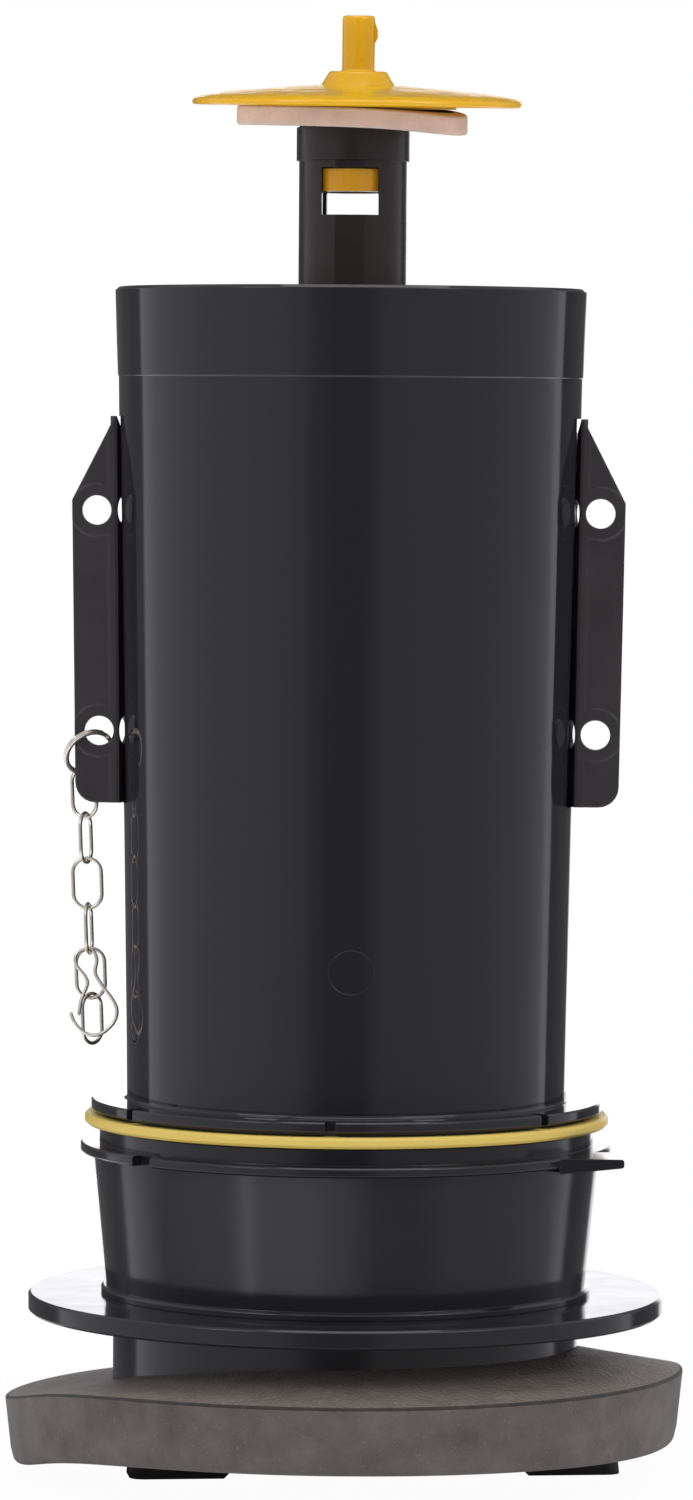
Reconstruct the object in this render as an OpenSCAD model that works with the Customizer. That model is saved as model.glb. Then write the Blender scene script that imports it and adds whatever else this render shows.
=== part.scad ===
// Canister flush valve for a toilet tank, in millimetres, +Z up.
// The origin is on the valve's own axis, in the plane that the clamp bar's feet stand on.
// The front of the valve faces -Y, and +X is to its right.

/* [Valve body] */
// Outside diameter of the shank that passes through the tank
shank_d = 81; // [78:0.5:84]
// Height of the shank's lower end above the feet of the clamp bar
shank_z = 10; // [9.8:0.1:12]
// Wall of the shank
shank_wall = 3; // [2.5:0.1:4]
// Height of the flange's underside
flange_z = 28.7; // [26:0.1:32]
// How far the flange that bears on the tank stands out from the shank
flange_reach = 14.8; // [12:0.1:17]
// Thickness of the flange
flange_t = 3.3; // [2.5:0.1:5]
// How far the seat tower stands out from the shank, just above the flange
tower_step = 1.2; // [0.8:0.1:1.6]
// How far the tower widens on each side, up to the rim
tower_flare = 2.3; // [1.8:0.1:2.8]

/* [Seat ring] */
// Height of the rim's underside
rim_z = 56.6; // [53:0.1:60]
// How far the rim stands out from the top of the tower
rim_reach = 2.3; // [1.6:0.1:3.2]
// Thickness of the rim
rim_t = 1.7; // [1.2:0.1:2.5]
// How far the seat stands in from the outside of the tower's top
seat_step = 1; // [0.5:0.1:1.5]
// Height of the seat above the rim
seat_h = 3.1; // [2:0.1:4]
// Wall of the seat
seat_wall = 2.6; // [2:0.1:2.8]
// How far the square tab reaches past the rim, to the right
tab_l = 2.8; // [1.5:0.1:5]
// Width of the square tab
tab_w = 12; // [8:0.5:16]

/* [Guide post] */
// Outside diameter of the guide post
post_d = 18.7; // [18:0.1:19.2]
// Wall of the guide post
post_wall = 2.35; // [2:0.05:2.6]
// Height of the post's top end
post_top_z = 237.3; // [230:0.1:250]
// How far the collar near the post's top stands out from the post
collar_step = 0.45; // [0.3:0.05:0.7]
// Height of the collar
collar_h = 5.8; // [4:0.1:8]
// Width of the windows in the front and back of the post
window_w = 9.8; // [8:0.1:11]
// Height of the windows
window_h = 8.1; // [7:0.1:10]

/* [Canister] */
// How far the canister's wall stands in from the outside of the seat, just above its lip
can_step = 4.7; // [4:0.1:6]
// How far the canister widens on each side, up to its top edge
can_flare = 2.8; // [2:0.1:4]
// Height of the canister wall above the lip
can_h = 140.8; // [130:0.1:150]
// Wall of the canister
can_wall = 2.2; // [1.8:0.1:3]
// How far the canister's lip stands out from its wall
lip_reach = 6.2; // [5:0.1:8]
// Thickness of the lip
lip_t = 1.9; // [1.4:0.1:3]
// Wall of the guide tube inside the canister
guide_wall = 2.3; // [1.8:0.1:3.5]

/* [Ears] */
// Width of an ear, from its fold to its outer edge
ear_w = 7.4; // [6.8:0.1:9]
// How far the fold of an ear stands off the canister's flat side, at its upper end
fold_gap = 1.04; // [0.8:0.02:1.4]
// Thickness of an ear
ear_t = 1.5; // [1.3:0.1:1.6]
// Diameter of the holes in the ears
ear_hole_d = 5.1; // [4.9:0.1:5.6]
// Height of the ears
ear_h = 67; // [64:0.5:72]

/* [Seals] */
// How far the canister seal stands out past the lip
seal_reach = 1.1; // [0.4:0.1:2]
// Thickness of the canister seal
seal_t = 1.9; // [1.5:0.1:2.5]
// Width of the foam tank gasket, from the shank to its outside
gasket_w = 18.3; // [15:0.1:21]
// Thickness of the foam tank gasket
gasket_t = 12.3; // [10:0.1:13]
// Outside diameter of the foam washer under the cap
washer_d = 40; // [36:0.5:46]
// Thickness of the foam washer
washer_t = 2.8; // [2.4:0.1:4]

/* [Cap] */
// Diameter of the cap
cap_d = 57.4; // [50:0.1:62]
// Rise of the cap's shallow dome above its edge
cap_rise = 2.4; // [1.5:0.1:4]
// Thickness of the cap's edge
cap_edge_t = 1.3; // [1:0.1:1.8]
// Outside diameter of the refill nipple
nipple_d = 5.6; // [5:0.1:6.4]
// Bore of the refill nipple
nipple_bore_d = 3.2; // [2.4:0.1:3.6]
// Length of the refill nipple above its hub
nipple_l = 9.3; // [8:0.1:12]

/* [Clamp] */
// How far the clamp bar's arch stays inside the shank at each end
arch_inset = 15; // [13:0.5:17]
// Width of the clamp bar
bar_w = 11.2; // [10:0.1:16]
// Length of each foot of the clamp bar
foot_l = 17.5; // [14:0.5:20]
// Thickness of the clamp bar
bar_t = 3.6; // [3:0.1:4]
// Diameter of the clamp screw
screw_d = 6; // [5:0.5:6]

/* [Chain] */
// Diameter of the link wire
wire_d = 0.65; // [0.5:0.05:0.75]
// Outside length of a link
link_l = 9.3; // [8.6:0.1:10]
// Outside width of a link
link_w = 5.6; // [5.2:0.1:6]
// Diameter of the split ring's wire
ring_wire_d = 0.84; // [0.7:0.02:0.9]
// Diameter of the split ring at the middle of its wire
ring_d = 8.4; // [8.2:0.1:8.6]

/* [Hidden] */

$fn = 96;
wire_fn = 24;
// Step of the coarse arcs on small rounded edges, in degrees
arc_step = 30;
// Overlap that joins two shapes of one piece
join = 0.02;

// Running and standing clearances
slip = 0.1;
press_gap = 0.02;
seat_gap = 0.05;
running_gap = 0.3;
travel_gap = 0.6;

// Heights of the valve body
flange_top = flange_z + flange_t;
rim_top = rim_z + rim_t;
seat_top = rim_top + seat_h;
shank_r = shank_d / 2;
throat_r = shank_r - shank_wall;
flange_d = shank_d + 2 * flange_reach;
tower_low_d = shank_d + 2 * tower_step;
tower_top_d = tower_low_d + 2 * tower_flare;
rim_d = tower_top_d + 2 * rim_reach;
seat_d = tower_top_d - 2 * seat_step;
seat_in_r = seat_d / 2 - seat_wall;
tower_in_h = 10;
tower_in_z = flange_top + tower_in_h;
tower_foot_w = 0.9;
tower_foot_h = 1.3;
edge_break = 0.4;
shank_chamfer = 0.6;
skirt_t = 1.2;
skirt_h = 4;
rim_edge = 0.3;
tab_y = -26;
tab_reach = rim_d / 2 + tab_l;
tab_root_in = 6;
tab_root_x = tower_top_d / 2 - tab_root_in;
tab_root_drop = 1;
tab_end_rise = 0.2;
notch_turn = -135.64;
notch_w = 4.6;
rim_notch_depth = 2.2;

// Spider that carries the post in the throat
hub_wall = 3.65;
hub_r = post_d / 2 + hub_wall;
hub_z = 22;
hub_h = 22;
hub_floor = 8;
spider_t = 3;
spider_h = 16;
spider_count = 4;
spider_turn = 45;
hub_overlap = 1;

// Post, its windows and its bayonet
post_r = post_d / 2;
post_bore_r = post_r - post_wall;
collar_d = post_d + 2 * collar_step;
post_z = hub_z + hub_floor;
post_floor = 4;
collar_drop = washer_t + collar_h + slip;
window_drop = 10;
collar_z = post_top_z - collar_drop;
window_top_z = post_top_z - window_drop;
window_z = window_top_z - window_h;
groove_wall = 0.85;
groove_r = post_r - groove_wall;
lug_h = 3.9;
lug_gap = 0.15;
groove_h = lug_h + 2 * lug_gap;
lug_w = window_w - 2 * slip;
entry_w = lug_w + 2 * running_gap;
panel_depth = 0.35;
panel_w = 12.5;
panel_h = 38.5;
panel_top_z = collar_z - slip;
drain_w = 3;
drain_out_r = post_bore_r - slip;

// Clamp screw, washer and nut
screw_r = screw_d / 2;
screw_play = 0.3;
bar_arch_z = 5.8;
arch_half = shank_r - arch_inset;
bar_l = 2 * (arch_half + foot_l);
bar_turn = 10;
bar_shift = 5.1;
bar_slot_l = 16;
bar_slot_shift = -2;
bar_corner_r = 2.5;
bar_foot_rise = 1.2;
bar_end_draft = 0.6;
bar_ramp = 4;
bar_ramp_step = 1;
nut_wall = 2;
nut_across = screw_d + 2 * nut_wall;
nut_t = 4.6;
screw_head_reach = 1.6;
screw_head_r = screw_r + screw_head_reach;
screw_head_h = 4;
drive_across = 4;
drive_depth = 2.4;
screw_washer_reach = 2.6;
screw_washer_r = screw_r + screw_washer_reach;
screw_washer_t = 1.2;
screw_end_z = 0.5;
washer_top_z = post_z + post_floor + screw_washer_t;

// Foam gasket, which sits a little askew on the shank
gasket_z = 4.25;
gasket_d = shank_d + 2 * gasket_w;
gasket_draft = 1;
gasket_low_d = gasket_d - 2 * gasket_draft;
gasket_edge_r = 1.8;
gasket_inset = 6;
gasket_arc_step = 15;
gasket_front_up = 3.8;
gasket_right_up = 2.3;

// Canister, its foot with the lip, the seal and its retainer
can_low_d = seat_d - 2 * can_step;
can_top_d = can_low_d + 2 * can_flare;
lip_d = can_low_d + 2 * lip_reach;
seal_d = lip_d + 2 * seal_reach;
seal_z = seat_top + seat_gap;
seal_top = seal_z + seal_t;
lip_step_h = 0.6;
lip_z = seal_top + lip_step_h;
lip_top = lip_z + lip_t;
lip_step_inset = 2;
lip_step_d = lip_d - 2 * lip_step_inset;
lip_edge = 0.3;
can_top = lip_top + can_h;
can_draft = atan((can_top_d - can_low_d) / 2 / can_h);
can_edge = 0.5;
can_fillet = 0.5;
band_h = 15.3;
band_step = 0.15;
band_taper = 0.2;
spigot_inset = 0.9;
spigot_r = can_low_d / 2 - spigot_inset;
spigot_wall = 2.8;
spigot_h = 3.4;
spigot_chamfer = 0.4;
seal_in_r = spigot_r + seat_gap;
seal_edge_r = 0.5;
retainer_inset = 0.8;
retainer_r = seat_in_r - retainer_inset;
retainer_t = 2.2;
retainer_lead = 0.8;
lip_notch_w = 1.8;
lip_notch_depth = 3.6;
lip_notch_turns = [-143, -90, -37];

// Guide tube and its spider inside the canister
lift = 27;
guide_in_r = collar_d / 2 + running_gap;
guide_r = guide_in_r + guide_wall;
washer_z = post_top_z - washer_t;
guide_top = washer_z - travel_gap - lift;
guide_z = lip_top;
web_t = 2;
web_h = 26;
web_count = 4;
web_step = 1;
guide_hub_wall = 1.6;
ring_h = 9;
ring_wall = 2.1;

// Ears and their holes
ear_z = 117.3;
ear_top = ear_z + ear_h;
ear_shoulder_drop = 14.5;
ear_shoulder_z = ear_top - ear_shoulder_drop;
ear_y = -7.2;
ear_root_t = 1.2;
ear_root_depth = 8;
ear_root_turn = 70;
ear_root_drop = 9;
ear_root_inset = 0.3;
ear_corner_r = 3.5;
ear_arc_step = 15;
ear_relief = 0.3;
ear_boss_r = 4.6;
ear_rib_w = 1.3;
ear_hole_r = ear_hole_d / 2;
ear_hole_low_rise = 12.5;
ear_hole_high_drop = 16.3;
ear_hole_low_z = ear_z + ear_hole_low_rise;
ear_hole_high_z = ear_top - ear_hole_high_drop;
ear_hole_low_in = 3.15;
ear_hole_high_in = 3.3;
root_hole_y = 2.65;
flat_depth = 1.2;
flat_w = 38.3;
fold_low_gap = 1.58;
ear_fold = can_r(ear_top) - flat_depth + fold_gap;
ear_low_fold = can_r(ear_z) - flat_depth + fold_low_gap;
ear_reach = ear_fold + ear_w;
ear_low_reach = ear_low_fold + ear_w;
ear_hole_low_x = fold_x(ear_hole_low_z) + ear_hole_low_in;
ear_hole_high_x = fold_x(ear_hole_high_z) + ear_hole_high_in;

// Cap
cap_gap = 0.2;
cap_z = post_top_z + cap_gap;
cap_r = cap_d / 2;
cap_boss_r = 17.2;
cap_boss_drop = 0.5;
disc_z = cap_z + cap_boss_drop;
cap_nose = 0.6;
cap_steps = 8;
cap_dome_power = 0.6;
cap_hub_low_r = 6.3;
cap_hub_top_r = 5.2;
cap_hub_h = 2.7;
cap_hub_round = 0.4;
cap_skin = 1.3;
nipple_r = nipple_d / 2;
nipple_round = 0.7;
nipple_flare = 0.3;
nub_reach = 0.2;
nub_w = 0.5;
nub_root = 0.5;
nub_low = 4.8;
nub_h = 4.2;
nub_flat = 1;
cap_top_z = disc_z + cap_edge_t + cap_rise;
nipple_z = cap_top_z + cap_hub_h;
plug_r = post_bore_r - slip;
plug_wall = 1.5;
lug_top_z = window_top_z - lug_gap;
lug_z = lug_top_z - lug_h;
plug_z = lug_z;
lug_r = groove_r - lug_gap;
washer_shift = -1;
washer_slack = 0.25;
washer_in_r = post_r + abs(washer_shift) + washer_slack;

// Chain: the split ring hangs askew in the lower left ear hole, and the links hang from it
ring_r = ring_d / 2;
ring_wire_r = ring_wire_d / 2;
// The ring's middle, seen from the middle of the hole, in shares of the ring's radius
ring_hang = [-0.4524, 0.2381, -0.9286];
ring_centre = [-ear_hole_low_x, ear_y + ear_t / 2, ear_hole_low_z] + ring_r * ring_hang;
ring_slant = 50;
ring_tilt = 42;
wire_r = wire_d / 2;
link_gap = 0.1;
bow_r = link_w / 2 - wire_r;
link_rise = link_l - wire_d;
link_pitch = link_rise - wire_d - link_gap;
chain_lean = 2.2;
// Lowest point of the ring's wire, worked out from its slant and tilt
ring_down = [-cos(ring_slant), sin(ring_slant) * cos(ring_tilt)] / ring_drop_share();
ring_low = ring_centre + ring_r * [
    ring_down[0] * sin(ring_slant) + ring_down[1] * cos(ring_slant) * cos(ring_tilt),
    ring_down[1] * sin(ring_tilt),
    -ring_drop_share()
];
link_top_z = ring_wire_r + wire_r + link_gap;
// How far each link is turned about the chain, from facing the front
link_turns = [-28, 74, 0, 84, 4, 54];
// Two things share the bow of link four, so each sits to one side of its middle
share_step = 0.55;
share_rise = share_step * share_step / 2 / bow_r;
hook_wire_d = 0.6;
hook_forward = 11;

// Middle line of the spring clip, as right and down steps from the top of its small eye
hook_path = [
    [-2.0, -11.6], [-1.5, -8.9], [-0.4, -6.2], [-0.8, -4.8], [-2.2, -2.9], [-2.4, -1.3],
    [-1.3, -0.2], [0.5, -0.2], [1.3, -1.9], [1.0, -4.2], [2.1, -6.4], [3.9, -8.9],
    [4.7, -10.9], [4.1, -13.0], [2.1, -14.8], [0.2, -15.1], [-1.5, -14.3], [-2.8, -12.7],
    [-3.4, -11.0]
];
hook_steps = 3;
hook_sides = 8;

function ring_drop_share() =
    sqrt(pow(cos(ring_slant), 2) + pow(sin(ring_slant) * cos(ring_tilt), 2));

function cone_r(low_r, top_r, low_z, top_z, z) =
    low_r + (top_r - low_r) * (z - low_z) / (top_z - low_z);

function can_r(z) = cone_r(can_low_d / 2, can_top_d / 2, lip_top, can_top, z);

function fold_x(z) = cone_r(ear_low_fold, ear_fold, ear_z, ear_top, z);

function arc(centre_x, centre_z, radius, from, step, to) =
    [for (a = [from : step : to]) [centre_x + radius * cos(a), centre_z + radius * sin(a)]];

module tube(outer_r, inner_r, height) {
    rotate_extrude()
        translate([inner_r, 0])
            square([outer_r - inner_r, height]);
}

// Shank and seat tower in one, open all the way through
module valve_body() {
    foot_r = tower_low_d / 2 + tower_foot_w;
    rebate_r = seat_in_r + skirt_t + press_gap;
    color("#2b2a30")
        rotate_extrude(convexity = 6)
            polygon([
                [throat_r, shank_z],
                [shank_r - shank_chamfer, shank_z],
                [shank_r, shank_z + shank_chamfer],
                [shank_r, flange_top],
                [foot_r, flange_top],
                [foot_r, flange_top + tower_foot_h - edge_break],
                [foot_r - edge_break, flange_top + tower_foot_h],
                [tower_low_d / 2, flange_top + tower_foot_h],
                [tower_top_d / 2, rim_z],
                [rebate_r, rim_z],
                [rebate_r, rim_z - skirt_h - press_gap],
                [seat_in_r, rim_z - skirt_h - press_gap],
                [throat_r, tower_in_z]
            ]);
}

// Flat flange round the shank, under the foot of the tower
module tank_flange() {
    in_r = shank_r + press_gap;
    out_r = flange_d / 2;
    color("#2b2a30")
        rotate_extrude(convexity = 4)
            polygon([
                [in_r, flange_z],
                [out_r - edge_break, flange_z],
                [out_r, flange_z + edge_break],
                [out_r, flange_top - edge_break],
                [out_r - edge_break, flange_top],
                [in_r, flange_top]
            ]);
}

// Hub and ribs that carry the post in the middle of the throat
module post_spider() {
    color("#29282e")
    difference() {
        union() {
            translate([0, 0, hub_z])
                cylinder(r = hub_r, h = hub_h);
            spider_ribs();
        }
        translate([0, 0, post_z])
            cylinder(r = post_r + press_gap, h = hub_h);
        translate([0, 0, hub_z - join])
            cylinder(r = screw_r + screw_play, h = hub_floor + 2 * join);
    }
}

// Ribs from the hub to the throat's wall
module spider_ribs() {
    intersection() {
        for (turn = [0 : 360 / spider_count : 359])
            rotate([0, 0, turn + spider_turn])
                translate([hub_r - hub_overlap, -spider_t / 2, hub_z])
                    cube([throat_r, spider_t, spider_h]);
        translate([0, 0, hub_z])
            cylinder(r = throat_r - press_gap, h = spider_h);
    }
}

// Rim and seat, let into the top of the tower with a short skirt
module seat_ring() {
    skirt_r = seat_in_r + skirt_t;
    color("#2b2a30")
    difference() {
        union() {
            rotate_extrude(convexity = 6)
                polygon([
                    [seat_in_r, rim_z - skirt_h],
                    [skirt_r, rim_z - skirt_h],
                    [skirt_r, rim_z],
                    [rim_d / 2 - rim_edge, rim_z],
                    [rim_d / 2, rim_z + rim_edge],
                    [rim_d / 2, rim_top - rim_edge],
                    [rim_d / 2 - rim_edge, rim_top],
                    [seat_d / 2, rim_top],
                    [seat_d / 2, seat_top - edge_break],
                    [seat_d / 2 - edge_break, seat_top],
                    [seat_in_r + edge_break, seat_top],
                    [seat_in_r, seat_top - edge_break]
                ]);
            rim_tab();
        }
        rim_notch();
    }
}

// Square tab on the right of the rim, thicker at its root
module rim_tab() {
    difference() {
        translate([0, tab_y + tab_w, 0])
            rotate([90, 0, 0])
                linear_extrude(tab_w)
                    polygon([
                        [tab_root_x, rim_z - tab_root_drop],
                        [tab_reach - rim_edge, rim_z + tab_end_rise],
                        [tab_reach, rim_z + tab_end_rise + rim_edge],
                        [tab_reach, rim_top - rim_edge],
                        [tab_reach - rim_edge, rim_top],
                        [tab_root_x, rim_top]
                    ]);
        translate([0, 0, rim_z - rim_t])
            cylinder(r = tower_top_d / 2 + press_gap, h = rim_t);
    }
}

// Notch in the left front of the rim
module rim_notch() {
    rotate([0, 0, notch_turn])
        translate([rim_d / 2 - rim_notch_depth, -notch_w / 2, rim_z - join])
            cube([2 * rim_notch_depth, notch_w, rim_t + 2 * join]);
}

module guide_post() {
    color("#232228")
    difference() {
        union() {
            translate([0, 0, post_z])
                cylinder(r = post_r, h = post_top_z - post_z);
            translate([0, 0, collar_z])
                cylinder(r = collar_d / 2, h = collar_h);
        }
        translate([0, 0, post_z + post_floor])
            cylinder(r = post_bore_r, h = post_top_z);
        translate([0, 0, post_z - join])
            cylinder(r = screw_r + screw_play, h = post_floor + 2 * join);
        post_windows();
        post_bayonet();
        post_panels();
        post_drains();
    }
}

// Windows that let the cap's lugs show, front and back
module post_windows() {
    translate([-window_w / 2, -collar_d, window_z])
        cube([window_w, 2 * collar_d, window_h]);
}

// Inner groove that the lugs turn in, and the two ways down to it
module post_bayonet() {
    translate([0, 0, lug_z - lug_gap])
        cylinder(r = groove_r, h = groove_h);
    intersection() {
        translate([0, 0, lug_z])
            cylinder(r = groove_r, h = post_top_z);
        translate([-groove_r, -entry_w / 2, lug_z])
            cube([2 * groove_r, entry_w, post_top_z]);
    }
}

// Shallow flat panels on the front and back of the post's upper end
module post_panels() {
    for (side = [0, 180])
        rotate([0, 0, side])
            translate([-panel_w / 2, -post_r - panel_depth, panel_top_z - panel_h])
                cube([panel_w, 2 * panel_depth, panel_h]);
}

// Slots beside the screw that let the refill water run down into the bowl
module post_drains() {
    for (side = [0, 180])
        rotate([0, 0, side])
            translate([screw_washer_r + slip, -drain_w / 2, post_z - join])
                cube([drain_out_r - screw_washer_r - slip, drain_w, post_floor + 2 * join]);
}

module clamp_screw() {
    color("#b9b7b0")
    difference() {
        union() {
            translate([0, 0, screw_end_z])
                cylinder(r = screw_r, h = washer_top_z - screw_end_z + join);
            translate([0, 0, washer_top_z])
                cylinder(r = screw_head_r, h = screw_head_h);
        }
        translate([0, 0, washer_top_z + screw_head_h - drive_depth])
            cylinder(d = drive_across / cos(30), h = drive_depth + join, $fn = 6);
    }
}

module screw_washer() {
    color("#c8c6bf")
        translate([0, 0, post_z + post_floor])
            tube(screw_washer_r, screw_r + screw_play, screw_washer_t);
}

// Bar that the screw draws up against the underside of the bowl, standing on two feet
module clamp_bar() {
    half = bar_l / 2;
    arch_top = bar_arch_z + bar_t;
    right_half = [
        [arch_half - bar_ramp, bar_arch_z],
        [arch_half, bar_foot_rise],
        [arch_half + bar_foot_rise, 0],
        [half, 0],
        [half - bar_end_draft, bar_t],
        [arch_half + bar_ramp - bar_ramp_step, bar_t],
        [arch_half - bar_ramp + bar_ramp_step, arch_top]
    ];
    left_half = [for (i = [len(right_half) - 1 : -1 : 0]) [-right_half[i][0], right_half[i][1]]];
    color("#2f2e33")
    rotate([0, 0, bar_turn])
    translate([bar_shift, 0, 0])
    difference() {
        intersection() {
            translate([0, bar_w / 2, 0])
                rotate([90, 0, 0])
                    linear_extrude(bar_w)
                        polygon(concat(right_half, left_half));
            bar_plan();
        }
        bar_slot();
    }
}

// Outline of the bar from above, with rounded ends
module bar_plan() {
    corner_x = bar_l / 2 - bar_corner_r;
    corner_y = bar_w / 2 - bar_corner_r;
    height = 2 * (bar_arch_z + bar_t);
    translate([0, 0, -height / 2 + bar_t]) {
        translate([-corner_x, -bar_w / 2, 0])
            cube([2 * corner_x, bar_w, height]);
        translate([-bar_l / 2, -corner_y, 0])
            cube([bar_l, 2 * corner_y, height]);
        for (x = [-corner_x, corner_x], y = [-corner_y, corner_y])
            translate([x, y, 0])
                cylinder(r = bar_corner_r, h = height);
    }
}

// Slot that lets the bar be shifted along under the screw
module bar_slot() {
    slot_r = screw_r + screw_play;
    slot_half = bar_slot_l / 2 - slot_r;
    translate([bar_slot_shift, 0, bar_arch_z - join]) {
        for (x = [-slot_half, slot_half])
            translate([x, 0, 0])
                cylinder(r = slot_r, h = bar_t + 2 * join);
        translate([-slot_half, -slot_r, 0])
            cube([2 * slot_half, 2 * slot_r, bar_t + 2 * join]);
    }
}

module clamp_nut() {
    color("#b9b7b0")
    translate([0, 0, bar_arch_z - nut_t])
        difference() {
            rotate([0, 0, bar_turn])
                cylinder(d = nut_across / cos(30), h = nut_t, $fn = 6);
            translate([0, 0, -join])
                cylinder(r = screw_r + press_gap, h = nut_t + 2 * join);
        }
}

module tank_gasket() {
    in_r = shank_r - gasket_inset;
    low_r = gasket_low_d / 2 - gasket_edge_r;
    color("#6b6260")
    difference() {
        translate([0, 0, gasket_z])
            rotate([-gasket_front_up, -gasket_right_up, 0])
                rotate_extrude(convexity = 4)
                    polygon(concat(
                        [[in_r, 0]],
                        arc(low_r, gasket_edge_r, gasket_edge_r, -90, gasket_arc_step, -gasket_arc_step),
                        [
                            [gasket_d / 2, gasket_t - edge_break],
                            [gasket_d / 2 - edge_break, gasket_t],
                            [in_r, gasket_t]
                        ]
                    ));
        translate([0, 0, -gasket_t])
            cylinder(r = shank_r + press_gap, h = 4 * gasket_t);
    }
}

// Drafted wall of the canister, with a slim band round its open top
module canister_shell() {
    band_z = can_top - band_h;
    band_r = can_r(band_z) - band_taper;
    color("#2b2a30")
    difference() {
        rotate_extrude(convexity = 6)
            polygon(concat(
                [[can_low_d / 2 - can_wall, lip_top]],
                arc(can_low_d / 2 + can_fillet, lip_top + can_fillet, can_fillet, -90, -arc_step, -180),
                [
                    [band_r - band_step, band_z - band_step],
                    [band_r, band_z],
                    [can_top_d / 2, can_top - can_edge],
                    [can_top_d / 2 - can_edge, can_top],
                    [can_top_d / 2 - can_wall + edge_break, can_top],
                    [can_top_d / 2 - can_wall, can_top - edge_break]
                ]
            ));
        for (side = [0, 1])
            mirror([side, 0, 0])
                ear_side(can_low_d / 2, flat_w, ear_h, -flat_depth);
    }
}

// Foot under the wall: the lip that presses on the seal, and the spigot that the seal fits
module canister_foot() {
    color("#2b2a30")
    difference() {
        rotate_extrude(convexity = 6)
            polygon([
                [spigot_r - spigot_wall, lip_z - spigot_h],
                [spigot_r - spigot_chamfer, lip_z - spigot_h],
                [spigot_r, lip_z - spigot_h + spigot_chamfer],
                [spigot_r, seal_top],
                [lip_step_d / 2, seal_top],
                [lip_step_d / 2, lip_z],
                [lip_d / 2 - lip_edge, lip_z],
                [lip_d / 2, lip_z + lip_edge],
                [lip_d / 2, lip_top - lip_edge],
                [lip_d / 2 - lip_edge, lip_top],
                [can_low_d / 2 - can_wall, lip_top],
                [spigot_r - spigot_wall, lip_z]
            ]);
        lip_notches();
    }
}

// Small notches in the lip: left front, front and right front
module lip_notches() {
    for (turn = lip_notch_turns)
        rotate([0, 0, turn])
            translate([lip_d / 2 - lip_notch_depth, -lip_notch_w / 2, lip_z - join])
                cube([2 * lip_notch_depth, lip_notch_w, lip_t + 2 * join]);
}

// Everything on the right of a plane that leans with the wall, a step away from its surface
module ear_side(reach, width, height, step) {
    translate([can_r(ear_z) + step, -width / 2, ear_z])
        rotate([0, can_draft, 0])
            cube([reach, width, height]);
}

module left_ear() {
    color("#2b2a30")
        mirror([1, 0, 0])
            ear();
}

module right_ear() {
    color("#2b2a30")
        ear();
}

// One ear: a flat plate that faces the front, and a root plate that folds back to the wall
module ear() {
    difference() {
        union() {
            translate([0, ear_y + ear_t, 0])
                rotate([90, 0, 0])
                    ear_plate();
            intersection() {
                ear_root();
                ear_side(ear_reach, 2 * ear_reach, 2 * ear_h, press_gap - flat_depth);
            }
        }
        for (place = [[ear_hole_low_x, ear_hole_low_z], [ear_hole_high_x, ear_hole_high_z]])
            translate([place[0], ear_y - join, place[1]])
                rotate([-90, 0, 0])
                    cylinder(r = ear_hole_r, h = ear_t + 2 * join);
    }
}

// The flat plate, a little thinner than its fold and than the bosses round its holes
module ear_plate() {
    linear_extrude(ear_t - ear_relief)
        ear_outline();
    linear_extrude(ear_t)
        intersection() {
            ear_outline();
            union() {
                translate([ear_hole_low_x, ear_hole_low_z])
                    circle(r = ear_boss_r);
                translate([ear_hole_high_x, ear_hole_high_z])
                    circle(r = ear_boss_r);
                polygon([
                    [ear_low_fold, ear_z],
                    [ear_low_fold + ear_rib_w, ear_z],
                    [ear_fold + ear_rib_w, ear_top],
                    [ear_fold, ear_top]
                ]);
            }
        }
}

// Outline of the flat plate, with a round lower outer corner
module ear_outline() {
    corner_x = ear_low_reach - ear_corner_r;
    polygon(concat(
        [
            [ear_low_fold, ear_z],
            [corner_x, ear_z]
        ],
        arc(corner_x, ear_z + ear_corner_r, ear_corner_r, -90 + ear_arc_step, ear_arc_step, 0),
        [
            [ear_reach, ear_shoulder_z],
            [ear_fold + join, ear_top],
            [ear_fold, ear_top]
        ]
    ));
}

// Root plate, with a hole in line with each hole of the flat plate
module ear_root() {
    root_draft = atan((ear_fold - ear_low_fold) / ear_h);
    difference() {
        translate([ear_low_fold - ear_root_inset, ear_y, ear_z])
            rotate([0, root_draft, 0])
                rotate([0, 0, 180 - ear_root_turn])
                    rotate([90, 0, 0])
                        linear_extrude(ear_root_t)
                            polygon([
                                [0, 0],
                                [ear_root_depth, 0],
                                [ear_root_depth, ear_h - ear_root_drop],
                                [0, ear_h]
                            ]);
        for (z = [ear_hole_low_z, ear_hole_high_z])
            translate([fold_x(z) - ear_root_inset, ear_y, z])
                rotate([0, 0, 180 - ear_root_turn])
                    translate([root_hole_y, ear_root_t, 0])
                        rotate([90, 0, 0])
                            cylinder(r = ear_hole_r - slip, h = 3 * ear_root_t);
    }
}

// Tube that slides on the post and meets the washer at the top of the stroke
module guide_tube() {
    color("#2b2a30")
        translate([0, 0, guide_z])
            tube(guide_r, guide_in_r, guide_top - guide_z);
}

// Hub round the foot of the guide tube, with webs to a ring that is fixed in the canister
module guide_spider() {
    ring_out_r = can_low_d / 2 - can_wall - press_gap;
    hub_in_r = guide_r + press_gap;
    color("#2b2a30")
    translate([0, 0, guide_z]) {
        tube(ring_out_r, ring_out_r - ring_wall, ring_h);
        tube(hub_in_r + guide_hub_wall, hub_in_r, web_h);
        for (turn = [0 : 360 / web_count : 359])
            rotate([90, 0, turn + spider_turn])
                translate([0, 0, -web_t / 2])
                    linear_extrude(web_t)
                        polygon([
                            [hub_in_r + guide_hub_wall / 2, 0],
                            [ring_out_r - ring_wall / 2, 0],
                            [ring_out_r - ring_wall / 2, ring_h - web_step],
                            [hub_in_r + guide_hub_wall / 2, web_h - web_step]
                        ]);
    }
}

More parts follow.
